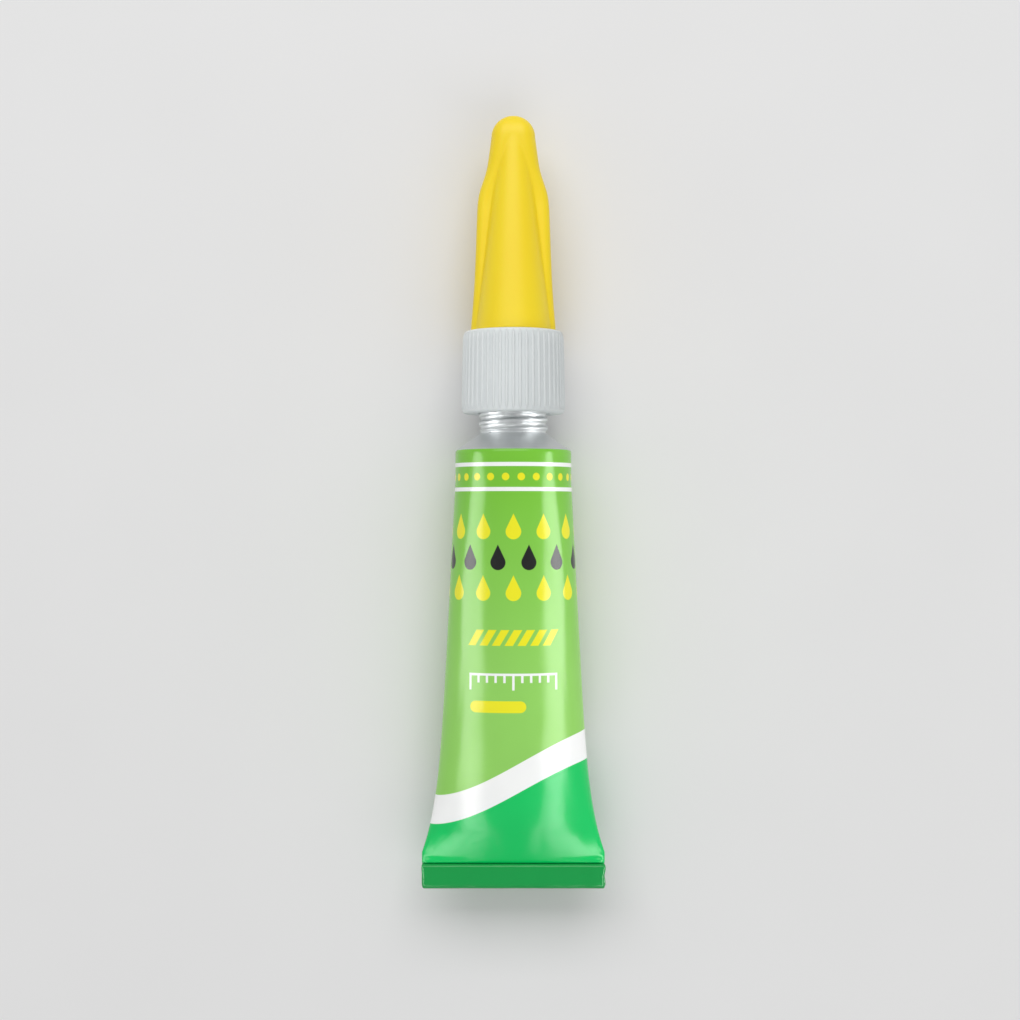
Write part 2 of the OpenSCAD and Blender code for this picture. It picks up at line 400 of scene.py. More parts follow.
def print_map(mesh, count, heights):
    """The print's own map: across is the share of the girth, up is the height on the foil."""
    layer = mesh.uv_layers.new(name="print")
    across = np.zeros(len(mesh.loops))
    up = np.zeros(len(mesh.loops))
    shares = (heights - PRINT_LOW) / (PRINT_HIGH - PRINT_LOW)
    for face in mesh.polygons:
        loops = list(face.loop_indices)
        points = [mesh.loops[k].vertex_index for k in loops]
        columns = [point % count for point in points]
        wraps = len(loops) == 4 and max(columns) - min(columns) > 1
        for k, point, column in zip(loops, points, columns):
            across[k] = 1.0 if wraps and column == 0 else column / count
            up[k] = shares[point // count]
    layer.uv.foreach_set("vector", np.stack([across, up], 1).ravel())


# The aluminium tube
def other_half(half):
    """The second half-axis of an oval whose girth is that of the round sleeve."""
    d = 2 * TUBE_R
    return (3 * d - 4 * half + np.sqrt(3 * d ** 2 + 12 * d * half - 20 * half ** 2)) / 6


def half_width(height):
    """Half the sleeve's width at a height: an even taper and a pinch at the tail."""
    share = np.clip((FLARE_TOP - height) / (FLARE_TOP - FLAT_TOP), 0, 1)
    flattened = TAPER_SHARE * share + (1 - TAPER_SHARE) * share ** PINCH_POWER
    return mix(TUBE_R, FLAT_HALF, flattened)


def oval(half_w, half_t, flatness, count):
    """A section of the sleeve in even steps of its girth: an oval, or a flat bar with round edges."""
    turn = np.linspace(0, 2 * math.pi, SECTION_STEPS + 1)
    x = -half_w * np.sin(turn)
    past = np.clip(np.abs(x) - (half_w - half_t), 0, half_t)
    bar = np.sqrt(half_t ** 2 - past ** 2)
    front = mix(-half_t * np.cos(turn), -np.sign(np.cos(turn)) * bar, flatness)
    steps = np.hypot(np.diff(x), np.diff(front))
    along = np.concatenate([[0], np.cumsum(steps)])
    wanted = along[-1] * np.arange(count) / count
    return np.interp(wanted, along, x), np.interp(wanted, along, front)


def wedge_share(height):
    """How far up the wedge a height lies, from 0 at the fold to 1 where the wedge ends."""
    return float(np.clip((height - WEDGE_FOOT) / (WEDGE_TOP - WEDGE_FOOT), 0, 1))


def half_thickness(height):
    """Half the sleeve's thickness, which closes in a slightly bowed wedge on the fold."""
    full_t = float(other_half(half_width(max(height, WEDGE_TOP))))
    return mix(LAYER_T / 2 + FOLD_SEAT, full_t, wedge_share(height) ** WEDGE_BOW)


def seat_shift(height):
    """How far the wedge leans forward onto the fold."""
    return FOLD_SEAT * (1 - wedge_share(height))


def sleeve_ring(height, inset=0.0):
    """An oval section of the sleeve, which is a flat bar where it meets the fold."""
    flatness = float(smooth(1 - (height - WEDGE_FOOT) / PRESSED_H))
    x, front = oval(half_width(height) - inset, half_thickness(height) - inset, flatness, TUBE_COLUMNS)
    return np.stack([x, front + seat_shift(height), np.full(TUBE_COLUMNS, height)], 1)


def sleeve_front(x, height):
    """How far in front of the axis the oval sleeve is, x mm beside its middle."""
    share = x / half_width(height)
    return seat_shift(height) + half_thickness(height) * math.sqrt(1 - share ** 2)


def tail_path():
    """The folded tail's middle line: (front, height, direction of its front face)."""
    pitch = LAYER_T + LAYER_GAP
    roll_r = pitch
    tuck_r = pitch / 2
    roll_h = roll_r + LAYER_T / 2
    tuck_h = FOLD_H - tuck_r - LAYER_T / 2
    path = [(0.0, h, 0.0) for h in np.linspace(WEDGE_FOOT - 0.02, roll_h, 8)]
    for turn in np.linspace(0, math.pi, 17)[1:]:
        path.append((roll_r * (1 - math.cos(turn)), roll_h - roll_r * math.sin(turn), turn))
    path += [(2 * roll_r, h, math.pi) for h in np.linspace(roll_h, tuck_h, 10)[1:]]
    for turn in np.linspace(0, math.pi, 13)[1:]:
        front = 2 * roll_r - tuck_r * (1 - math.cos(turn))
        path.append((front, tuck_h + tuck_r * math.sin(turn), math.pi + turn))
    path += [(2 * roll_r - 2 * tuck_r, h, 0.0) for h in np.linspace(tuck_h, roll_h, 6)[1:]]
    return path


def wave(place, depth, rate, shift):
    """A gentle wave along a line."""
    return depth * np.sin(rate * place + shift)


def tail_rings():
    """Rings along the folded tail and their heights on the foil, uneven as a crimping jaw leaves them."""
    rings = []
    heights = []
    x, face = oval(FLAT_HALF, LAYER_T / 2, 1.0, TUBE_COLUMNS)
    across = x / FLAT_HALF
    crimp = sum(wave(x, *each) for each in CRIMP_WAVES)
    run = WEDGE_FOOT
    last = (0.0, WEDGE_FOOT)
    for front, height, turn in tail_path():
        run -= math.hypot(front - last[0], height - last[1])
        last = (front, height)
        fade = float(smooth((WEDGE_FOOT - height) / CRIMP_FADE))
        ends = across ** 8 * np.where(across > 0, wave(run, *RIGHT_END_WAVE), wave(run, *LEFT_END_WAVE))
        low = max(TAIL_CORNER_R - height, 0)
        ends = ends - across ** 12 * (TAIL_CORNER_R - math.sqrt(TAIL_CORNER_R ** 2 - low ** 2))
        depth = face + crimp * fade * abs(math.cos(turn))
        rings.append(np.stack([
            x + ends * np.sign(across) * fade,
            front + depth * math.cos(turn),
            height + depth * math.sin(turn),
        ], 1))
        heights.append(run)
    return rings, heights


def shoulder_profile():
    """The faintly hollow cone below the neck, and the rounded corner at its foot."""
    slope = math.atan2(TUBE_R - NECK_R, NECK_FOOT - CORNER_H)
    corner_h = CORNER_H - CORNER_R * math.tan(slope / 2)
    corner = arc_points(TUBE_R - CORNER_R, corner_h, CORNER_R, math.degrees(slope), 0, 8)
    shares = np.linspace(0.05, 0.95, 7)
    cone = tapered(NECK_R, corner[0][0], NECK_FOOT, corner[0][1], shares)
    hollow = wave(shares, CONE_HOLLOW, math.pi, 0)
    cone = [(radius, height - dip) for (radius, height), dip in zip(cone, hollow)]
    return cone, corner


def build_tube(enamel, aluminium):
    """Inner wall, bore, threaded neck, shoulder, sleeve and folded tail, one skin from the inside out."""
    angles = turn_angles(TUBE_COLUMNS)
    inner = mix(WEDGE_FOOT + 0.4, CORNER_H - 0.6, np.linspace(0, 1, 26) ** 1.6)
    outer = mix(WEDGE_FOOT, FLARE_TOP, np.linspace(1, 0, 80)[1:] ** 1.5)
    bore = [(BORE_R + 0.5, NECK_FOOT - 0.3), (BORE_R + 0.1, NECK_FOOT + 0.1), (BORE_R, NECK_FOOT + 0.4)]
    bore += [(BORE_R, NECK_TOP - 2), (BORE_R, NECK_TOP - 0.06), (BORE_R + 0.06, NECK_TOP)]
    bore += [(NECK_ROOT_R - 0.12, NECK_TOP), (NECK_ROOT_R, NECK_TOP - 0.1)]
    neck = thread_rings(NECK_FOOT + 0.1, NECK_TOP - 0.2, angles, root=NECK_ROOT_R, crest=NECK_CREST_R,
                        lead=NECK_PITCH, starts=1, step=0.075, rise=0.4)
    neck_foot = [(NECK_ROOT_R + 0.03, NECK_FOOT + 0.05), (NECK_R, NECK_FOOT - 0.01)]
    cone, corner = shoulder_profile()
    land = tapered(TUBE_R, TUBE_R, corner[-1][1], FLARE_TOP, (0.25, 0.5, 0.75, 1))

    rings = [sleeve_ring(height, FOIL) for height in inner]
    rings += turned(bore, angles) + neck[::-1] + turned(neck_foot + cone + corner[:3], angles)
    bare = len(rings) - 1
    rings += turned(corner[3:] + land, angles)
    rings += [sleeve_ring(height) for height in outer]
    heights = [ring[0, 2] for ring in rings]
    folded, folded_heights = tail_rings()
    rings += folded
    heights += folded_heights
    finish = [1] * bare + [0] * (len(rings) - bare)
    tube = skin("glue_tube", rings, [enamel, aluminium], finish, heights)
    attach(tube, "tube")
    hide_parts("tube")
    return tube


# The nozzle
def build_nozzle(moulding):
    """Collar, screw spigot, spout with its channel, and the slanted spike, one skin closed on itself."""
    angles = turn_angles(NOZZLE_COLUMNS)
    foot_edge = COLLAR_FOOT + EDGE_R
    top_edge = COLLAR_TOP - EDGE_R
    collar = [(COLLAR_BORE_R + 0.25, COLLAR_FOOT), (COLLAR_FOOT_R - EDGE_R - 0.3, COLLAR_FOOT)]
    collar += arc_points(COLLAR_FOOT_R - EDGE_R, foot_edge, EDGE_R, -90, 0, 8)
    collar += tapered(COLLAR_FOOT_R, COLLAR_TOP_R, foot_edge, top_edge, np.linspace(0.1, 0.9, 9))
    collar += arc_points(COLLAR_TOP_R - EDGE_R, top_edge, EDGE_R, 0, 90, 8)
    collar += [(SPIGOT_ROOT_R + 0.5, COLLAR_TOP), (SPIGOT_ROOT_R + 0.06, COLLAR_TOP + 0.02)]
    spigot = thread_rings(COLLAR_TOP + 0.12, SPIGOT_TOP - 0.2, angles, root=SPIGOT_ROOT_R, crest=SPIGOT_R,
                          lead=SPIGOT_LEAD, starts=SPIGOT_STARTS, step=0.11, rise=0.3)
    spout = arc_points(SPIGOT_ROOT_R - 0.15, SPIGOT_TOP - 0.15, 0.15, 0, 90, 4)
    spout += [(SPOUT_BASE_R + 0.1, SPIGOT_TOP + 0.02), (SPOUT_BASE_R - 0.04, SPIGOT_TOP + 0.14)]
    spout += tapered(SPOUT_BASE_R, SPOUT_TIP_R, SPIGOT_TOP, SPOUT_TIP, np.linspace(0.03, 0.98, 14))
    spout += arc_points(SPOUT_TIP_R - TIP_EDGE_R, SPOUT_TIP - TIP_EDGE_R, TIP_EDGE_R, 10, 90, 4)
    spout += [(CHANNEL_TIP_R + 0.05, SPOUT_TIP), (CHANNEL_TIP_R, SPOUT_TIP - 0.08)]
    spout += tapered(CHANNEL_TIP_R, CHANNEL_R, SPOUT_TIP, CEILING, (0.2, 0.5, 0.8, 1))
    spike = [(CHANNEL_R, SPIKE_TIP + 1.3), (CHANNEL_R, SPIKE_TIP + 0.6), (CHANNEL_R + 0.02, SPIKE_TIP)]
    spike += [(SPIKE_TIP_R - 0.04, SPIKE_TIP), (SPIKE_TIP_R + 0.02, SPIKE_TIP + 0.05)]
    spike += [(SPIKE_R - 0.2, SPIKE_TIP + 0.6), (SPIKE_R - 0.1, SPIKE_TIP + 1.2), (SPIKE_R, CEILING - 0.08)]
    slanted = turned(spike, angles)
    for ring in slanted:
        ring[:, 2] = np.maximum(ring[:, 2], SPIKE_TIP + (ring[:, 0] + SPIKE_TIP_R) * SPIKE_SLANT)
    bore = [(SPIKE_R + 0.1, CEILING), (COLLAR_BORE_R - 0.15, CEILING), (COLLAR_BORE_R, CEILING - 0.15)]
    nut = thread_rings(COLLAR_FOOT + 0.5, CEILING - 0.3, angles, root=COLLAR_BORE_R,
                       crest=COLLAR_BORE_R + 0.3, lead=NECK_PITCH, starts=1, step=0.11, rise=0.5)
    rings = turned(collar, angles) + spigot + turned(spout, angles) + slanted + turned(bore, angles)
    rings += nut[::-1] + turned([(COLLAR_BORE_R, COLLAR_FOOT + 0.25)], angles)
    nozzle = skin("nozzle_moulding", rings, [moulding], loop=True)
    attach(nozzle, "nozzle")
    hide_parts("nozzle")
    return nozzle


def rib_tree(material):
    """Geometry nodes for the grip ribs: one half-round rib with run-out ends, set round the axis."""
    tree = bpy.data.node_groups.new("grip_rib_ring", "GeometryNodeTree")
    kinds = {"Count": "NodeSocketInt"}
    for name in ("Foot height", "Top height", "Foot radius", "Top radius", "Half width", "Axis height"):
        kinds[name] = "NodeSocketFloat"
    sizes = {}
    for name, kind in kinds.items():
        sizes[name] = tree.interface.new_socket(name=name, in_out="INPUT", socket_type=kind).identifier
    tree.interface.new_socket(name="Ribs", in_out="OUTPUT", socket_type="NodeSocketGeometry")
    wires = Wire(tree)
    entry = tree.nodes.new("NodeGroupInput")
    given = {name: Wire(tree, entry.outputs[name]) for name in kinds}
    foot = wires.add("ShaderNodeCombineXYZ", {1: given["Foot height"], 2: given["Foot radius"]})
    top = wires.add("ShaderNodeCombineXYZ", {1: given["Top height"], 2: given["Top radius"]})
    line = wires.add("GeometryNodeCurvePrimitiveLine", {"Start": foot, "End": top}, mode="POINTS")
    line = wires.add("GeometryNodeResampleCurve", {"Curve": line, "Count": RIB_STEPS})
    along = wires.add("GeometryNodeSplineParameter", output="Factor")
    ends = (1 - abs(along * 2 - 1) ** RIB_END_POWER).most(RIB_END_LEAST).root()
    profile = {"Resolution": RIB_SIDES, "Radius": 1.0}
    round_bar = wires.add("GeometryNodeCurvePrimitiveCircle", profile, mode="RADIUS")
    thickness = ends * given["Half width"]
    swept = {"Curve": line, "Profile Curve": round_bar, "Scale": thickness, "Fill Caps": True}
    rib = wires.add("GeometryNodeCurveToMesh", swept)
    middle = wires.add("ShaderNodeCombineXYZ", {2: given["Axis height"]})
    spots = wires.add("GeometryNodePoints", {"Count": given["Count"], "Position": middle})
    turn = wires.add("GeometryNodeInputIndex") * (2 * math.pi) / given["Count"]
    facing = wires.add("ShaderNodeCombineXYZ", {1: turn})
    copies = {"Points": spots, "Instance": rib, "Rotation": facing}
    ribs = wires.add("GeometryNodeInstanceOnPoints", copies)
    ribs = wires.add("GeometryNodeRealizeInstances", {"Geometry": ribs})
    ribs = wires.add("GeometryNodeSetShadeSmooth", {"Geometry": ribs, "Shade Smooth": True})
    ribs = wires.add("GeometryNodeSetMaterial", {"Geometry": ribs, "Material": material})
    leave = tree.nodes.new("NodeGroupOutput")
    tree.links.new(ribs.socket, leave.inputs["Ribs"])
    return tree, sizes


def build_ribs(moulding):
    """The grip ribs round the collar."""
    tree, sizes = rib_tree(moulding)
    ribs = bpy.data.objects.new("grip_ribs", bpy.data.meshes.new("grip_ribs"))
    bpy.context.scene.collection.objects.link(ribs)
    growth = ribs.modifiers.new("ribs", "NODES")
    growth.node_group = tree
    sunk = RIB_W / 2 - RIB_H
    values = {
        "Count": RIB_COUNT,
        "Foot height": TAIL_Y + (COLLAR_FOOT + RIB_END) * MM,
        "Top height": TAIL_Y + (COLLAR_TOP - RIB_END) * MM,
        "Foot radius": (COLLAR_FOOT_R - sunk) * MM,
        "Top radius": (COLLAR_TOP_R - sunk) * MM,
        "Half width": RIB_W / 2 * MM,
        "Axis height": AXIS_Z,
    }
    for name, value in values.items():
        growth[sizes[name]] = value
    graph = bpy.context.evaluated_depsgraph_get()
    mesh = bpy.data.meshes.new_from_object(ribs.evaluated_get(graph))
    ribs.modifiers.remove(growth)
    ribs.data = mesh
    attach(ribs, "nozzle")
    return ribs


# The cap
def wing_half_width(height):
    """Half the width over the wings: nearly straight, then a rounded shoulder in to the core."""
    near = height + np.linspace(-WING_BLEND, WING_BLEND, 9)
    return WING_FOOT_HALF - np.interp(near, WING_HEIGHTS, WING_NARROWING).mean()


def wing_radius(turn, half_w, half_t):
    """Radius in a direction of a wing's section, a bar with round ends."""
    c = np.abs(np.cos(turn))
    s = np.maximum(np.abs(np.sin(turn)), 1e-6)
    bar = half_w - half_t
    past = np.sqrt(np.maximum(half_t ** 2 - (bar * s) ** 2, 0))
    return np.where(s * bar < c * half_t, bar * c + past, half_t / s)


def cap_ring(height, turns, angles):
    """A ring of the cap: core and wings with a soft crease between; over the dome the last one shrinks."""
    low = min(height, DOME_FOOT)
    core = mix(CORE_FOOT_R, CORE_TOP_R, low / DOME_FOOT)
    thicker = float(smooth((low - WING_SHOULDER_H) / (DOME_FOOT - WING_SHOULDER_H)))
    half_t = mix(WING_HALF_T, CORE_TOP_R, thicker)
    wing = np.minimum(wing_radius(turns, float(wing_half_width(low)), half_t), 2 * CORE_FOOT_R)
    crease = CREASE * (1 - thicker)
    radius = 0.5 * (core + wing + np.sqrt((core - wing) ** 2 + crease ** 2))
    radius = radius * math.sqrt(max(1 - ((height - low) / DOME_R) ** 2, 0))
    if height < CAP_EDGE_R:
        edge = math.sqrt(max(CAP_EDGE_R ** 2 - (CAP_EDGE_R - height) ** 2, 0))
        radius = radius - (CAP_EDGE_R - edge)
    return circle(radius, CAP_FOOT + height, angles)


def build_cap(moulding):
    """The winged cap, outside from the top down and inside back up to the pin's hole."""
    even = turn_angles(CAP_COLUMNS)
    turns = even - CREASE_CROWDING * np.sin(2 * even)
    angles = -turns - math.pi / 2
    levels = [DOME_FOOT + DOME_R * math.sin(t) for t in np.radians(np.linspace(89.3, 6, 16))]
    levels += list(np.linspace(DOME_FOOT, 0.6, 64))
    levels += [0.4, 0.26, 0.18, 0.12, 0.07, 0.03, 0.0]
    mouth = [(SOCKET_R + 0.2, CAP_FOOT), (SOCKET_R, CAP_FOOT + 0.2)]
    socket = thread_rings(CAP_FOOT + 0.35, SPIGOT_TOP - 0.1, angles, root=SOCKET_R, crest=SOCKET_R + 0.22,
                          lead=SPIGOT_LEAD, starts=SPIGOT_STARTS, step=0.13, rise=0.3)
    cone_r = SPOUT_BASE_R + SPOUT_CLEARANCE
    cone_tip_r = SPOUT_TIP_R + SPOUT_CLEARANCE
    cone_foot = SPIGOT_TOP + SPOUT_CLEARANCE
    cone_tip = SPOUT_TIP + SPOUT_CLEARANCE
    bore = [(SOCKET_R, cone_foot - 0.1), (SOCKET_R - 0.1, cone_foot), (cone_r, cone_foot + 0.02)]
    bore += tapered(cone_r, cone_tip_r, cone_foot, cone_tip, np.linspace(0.1, 1, 8))
    bore += [(PIN_HOLE_R + 0.1, cone_tip), (PIN_HOLE_R, cone_tip + 0.1), (PIN_HOLE_R, cone_tip + PIN_SET)]
    rings = [cap_ring(level, turns, angles) for level in levels]
    rings += turned(mouth, angles) + socket + turned(bore, angles)
    cap = skin("winged_cap", rings, [moulding], sharp=60)
    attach(cap, "cap")
    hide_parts("cap")


# Colours of the print, and the darker green painted on the folded tail as painted shade
LIGHT_GREEN = linear(117, 190, 56)
PALE_GREEN = linear(141, 203, 94)
DARK_GREEN = linear(5, 194, 95)
# Painted shade: the folded tail is coloured darker than the green it is folded from, standing in for the
# shade on the fold
FOLD_SHADE_GREEN = linear(12, 148, 68)
PRINT_WHITE = (0.88, 0.89, 0.88, 1)
PRINT_YELLOW = linear(232, 226, 36)
PRINT_BLACK = (0.012, 0.013, 0.012, 1)

# Sizes of the print, in mm up from the tail and across from the middle of the front
GROUND_FADE = 20
SASH_MIDDLE = 11.6
SASH_CLIMB = 3.4
SASH_HALF = 1.5
# Top of the fold's painted shade
FOLD_SHADE_TOP = FOLD_H - 0.1
TRIM_MIDDLE = 42.4
RAIL_REACH = 1.25
RAIL_HALF = 0.2
DOT_COUNT = 24
DOT_R = 0.38
DROP_TOP_ROW = 36.9
DROP_ROW_GAP = 3.1
DROP_SHIFTS = (0.5, 0, 0.5)
DROPS_AROUND = 12
DROP_R = 0.78
DROP_POINT = 1.8
HATCH_MIDDLE = 26.2
HATCH_HALF_H = 0.8
HATCH_HALF_W = 4.5
HATCH_PITCH = 1.3
HATCH_BAR = 0.42
HATCH_LEAN = 0.6
GAUGE_TOP = 22.6
GAUGE_LINE = 0.24
TICK_PITCH = 0.9
TICK_HALF = 0.12
TICK_H = 0.95
LONG_TICK_H = 1.7
TICKS_A_SIDE = 5
LEVEL_MIDDLE = 19.2
LEVEL_R = 0.6
LEVEL_REACH = 2.3


def disc_mask(across, up, radius):
    """A full round spot."""
    return inside((across * across + up * up).root() - radius)


def round_bar_mask(across, up, reach, radius):
    """A bar with round ends, lying across, its straight part 2 * reach long."""
    return disc_mask((abs(across) - reach).most(0.0), up, radius)


def drop_mask(across, up, radius, point):
    """A drop with its point upwards, point mm above the middle of its round part."""
    tangent = radius * radius / point
    lean = radius / math.sqrt(point * point - radius * radius)
    tip = inside((abs(across) - (point - up) * lean).most(tangent - up))
    return disc_mask(across, up, radius).most(tip)


def box_mask(across, up, half_w, low, high):
    """A plain rectangle."""
    middle = (low + high) / 2
    half_h = (high - low) / 2
    return inside((abs(across) - half_w).most(abs(up - middle) - half_h))


def marks_at(place, pitch, half):
    """Marks of one width at every multiple of the pitch."""
    return inside(abs((place + pitch / 2) % pitch - pitch / 2) - half)


def print_ground(wires, across, up):
    """The two greens with a white sash between them that climbs round the tube, and a darker green painted on
    the fold as painted shade.
    """
    fade = ((FLARE_TOP - up) / GROUND_FADE).most(0.0).least(1.0)
    colour = blend_colours(wires, fade, LIGHT_GREEN, PALE_GREEN)
    climb = (across * (2 * math.pi / GIRTH) - math.pi / 2).cosine() * SASH_CLIMB
    above_sash = up - SASH_MIDDLE - climb
    colour = blend_colours(wires, inside(above_sash - SASH_HALF), colour, PRINT_WHITE)
    colour = blend_colours(wires, inside(above_sash + SASH_HALF), colour, DARK_GREEN)
    # Painted shade: below the fold's top edge the green turns darker
    return blend_colours(wires, inside(up - FOLD_SHADE_TOP, soft=0.2), colour, FOLD_SHADE_GREEN)


def print_bands(wires, across, up, colour):
    """What goes all round: dots between two rails, and three rows of drops."""
    trim = up - TRIM_MIDDLE
    rails = inside(abs(abs(trim) - RAIL_REACH) - RAIL_HALF)
    dot_pitch = GIRTH / DOT_COUNT
    dots = disc_mask(across % dot_pitch - dot_pitch / 2, trim, DOT_R)
    drop_pitch = GIRTH / DROPS_AROUND
    rows = []
    for row, shift in enumerate(DROP_SHIFTS):
        aside = (across + shift * drop_pitch) % drop_pitch - drop_pitch / 2
        rows.append(drop_mask(aside, up - DROP_TOP_ROW + row * DROP_ROW_GAP, DROP_R, DROP_POINT))
    colour = blend_colours(wires, rails, colour, PRINT_WHITE)
    colour = blend_colours(wires, dots.most(rows[0]).most(rows[2]), colour, PRINT_YELLOW)
    return blend_colours(wires, rows[1], colour, PRINT_BLACK)


def print_front(wires, across, up, colour):
    """What the front alone has: a hatch, and a gauge over a level bar."""
    above_hatch = up - HATCH_MIDDLE
    lean = across - above_hatch * HATCH_LEAN
    hatch = box_mask(lean, above_hatch, HATCH_HALF_W, -HATCH_HALF_H, HATCH_HALF_H)
    hatch = marks_at(lean, HATCH_PITCH, HATCH_BAR) * hatch
    gauge_half = TICKS_A_SIDE * TICK_PITCH
    level_middle = LEVEL_R + LEVEL_REACH - gauge_half
    level = round_bar_mask(across - level_middle, up - LEVEL_MIDDLE, LEVEL_REACH, LEVEL_R)
    under = up - GAUGE_TOP
    gauge = box_mask(across, under, gauge_half + TICK_HALF, -GAUGE_LINE, 0)
    for pitch, length in ((TICK_PITCH, TICK_H), (gauge_half, LONG_TICK_H)):
        ticks = box_mask(across, under, gauge_half + TICK_HALF, -length, 0)
        gauge = gauge.most(marks_at(across, pitch, TICK_HALF) * ticks)
    colour = blend_colours(wires, hatch.most(level), colour, PRINT_YELLOW)
    return blend_colours(wires, gauge, colour, PRINT_WHITE)


# Finishes
def printed_enamel():
    """Green enamel print over the foil, glossy, with the faint dents of thin metal."""
    material, wires, shader = new_material("printed_enamel")
    on_foil = wires.add("ShaderNodeUVMap", uv_map="print")
    shares = wires.add("ShaderNodeSeparateXYZ", {0: on_foil})
    across = (shares - 0.5) * GIRTH
    up = shares.beside(1) * (PRINT_HIGH - PRINT_LOW) + PRINT_LOW
    colour = print_ground(wires, across, up)
    colour = print_bands(wires, across, up, colour)
    colour = print_front(wires, across, up, colour)
    place = object_place(wires)
    cloud = noise(wires, place, scale=0.16, detail=2.0)
    grain = noise(wires, place, scale=9.0, detail=2.0)
    dents = noise(wires, object_place(wires, (0.5, 0.16, 0.5)), scale=0.9, detail=1.0)
    tone = cloud * 0.1 + 0.95
    shade = wires.add("ShaderNodeCombineColor", {0: tone, 1: tone, 2: tone})
    colour = blend_colours(wires, 1.0, colour, shade, "MULTIPLY")
    relief = bump(wires, dents * 0.93 + grain * 0.07, depth=0.05)
    feed(shader, Base_Color=colour, Roughness=0.17 + grain * 0.06 - cloud * 0.04, Normal=relief)
    feed(shader, IOR=1.55, Specular_IOR_Level=0.32)
    return material


def bare_aluminium():
    """Drawn aluminium with fine turning lines round the axis."""
    material, wires, shader = new_material("bare_aluminium")
    lines = noise(wires, object_place(wires, (0.15, 6, 0.15)), scale=1.6, detail=3.0)
    cloud = noise(wires, object_place(wires), scale=0.5, detail=2.0)
    tone = blend_colours(wires, cloud * 0.5 + lines * 0.5, (0.52, 0.54, 0.55, 1), (0.68, 0.7, 0.7, 1))
    feed(shader, Base_Color=tone, Metallic=1.0, Roughness=0.38 + lines * 0.16)
    feed(shader, Normal=bump(wires, lines, depth=0.012))
    return material


def milky_polyethylene():
    """Natural polyethylene: milky, a little translucent, with the faint flow marks of moulding."""
    material, wires, shader = new_material("milky_polyethylene")
    cloud = noise(wires, object_place(wires, (1, 0.5, 1)), scale=0.25, detail=2.0)
    grain = noise(wires, object_place(wires), scale=14.0, detail=2.0)
    colour = blend_colours(wires, cloud, linear(211, 217, 218), linear(227, 232, 232))
    feed(shader, Base_Color=colour, Roughness=0.36 + grain * 0.12, Normal=bump(wires, grain, depth=0.006))
    feed(shader, Subsurface_Weight=0.35, Subsurface_Radius=(1.0, 1.0, 1.0), Subsurface_Scale=0.8 * MM)
    feed(shader, IOR=1.51)
    return material


def yellow_polyethylene():
    """Yellow polyethylene with a satin skin."""
    material, wires, shader = new_material("yellow_polyethylene")
    cloud = noise(wires, object_place(wires, (1, 0.35, 1)), scale=0.3, detail=2.0)
    grain = noise(wires, object_place(wires), scale=11.0, detail=2.0)
    colour = blend_colours(wires, cloud, linear(250, 216, 20), linear(253, 226, 32))
    feed(shader, Base_Color=colour, Roughness=0.4 + grain * 0.12, Normal=bump(wires, grain, depth=0.006))
    feed(shader, Subsurface_Weight=0.12, Subsurface_Radius=(1.0, 0.75, 0.2), Subsurface_Scale=0.6 * MM)
    feed(shader, IOR=1.51)
    return material


def dried_latex():
    """The dried sealing compound, ivory and slightly lumpy."""
    material, wires, shader = new_material("dried_latex")
    lumps = noise(wires, object_place(wires), scale=1.4, detail=4.0)
    colour = blend_colours(wires, lumps, (0.62, 0.55, 0.38, 1), (0.8, 0.75, 0.6, 1))
    feed(shader, Base_Color=colour, Roughness=0.5 + lumps * 0.2, Normal=bump(wires, lumps, depth=0.05))
    return material


def clear_glue():
    """The glue, a clear thin liquid with a faint haze."""
    material, wires, shader = new_material("clear_glue")
    haze = noise(wires, object_place(wires), scale=0.3, detail=2.0)
    colour = blend_colours(wires, haze, (0.9, 0.93, 0.93, 1), (0.97, 0.98, 0.98, 1))
    feed(shader, Base_Color=colour, Roughness=0.02 + haze * 0.03)
    feed(shader, Transmission_Weight=0.9, IOR=1.45)
    return material


def drawn_steel():
    """Drawn steel wire, with lines along its length."""
    material, wires, shader = new_material("drawn_steel")
    lines = noise(wires, object_place(wires, (9, 0.3, 9)), scale=1.5, detail=3.0)
    colour = blend_colours(wires, lines, (0.46, 0.46, 0.48, 1), (0.66, 0.66, 0.68, 1))
    feed(shader, Base_Color=colour, Metallic=1.0, Roughness=0.22 + lines * 0.2)
    feed(shader, Normal=bump(wires, lines, depth=0.01))
    return material


def paint_node(name, material):
    """Gives its finish to a node of the frame that stays as it is."""
    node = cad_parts[name]
    node.data.materials.clear()
    node.data.materials.append(material)


# Floor
TABLE_REACH = 0.6
TABLE_GAP = 0.02 * MM


def build_floor():
    """A plain pale table top under the tube."""
    low = tube_low[2] - TABLE_GAP
    corners = [(x * TABLE_REACH, y * TABLE_REACH, low) for x, y in ((-1, -1), (1, -1), (1, 1), (-1, 1))]
    mesh = bpy.data.meshes.new("table_top")
    mesh.from_pydata(corners, [], [(0, 1, 2, 3)])
    floor = bpy.data.objects.new("table_top", mesh)
    bpy.context.scene.collection.objects.link(floor)
    material, wires, shader = new_material("pale_table")
    speck = noise(wires, object_place(wires), scale=0.05, detail=2.0)
    feed(shader, Base_Color=blend_colours(wires, speck, (0.8, 0.8, 0.8, 1), (0.83, 0.83, 0.83, 1)))
    feed(shader, Roughness=0.8, Specular_IOR_Level=0.2)
    mesh.materials.append(material)


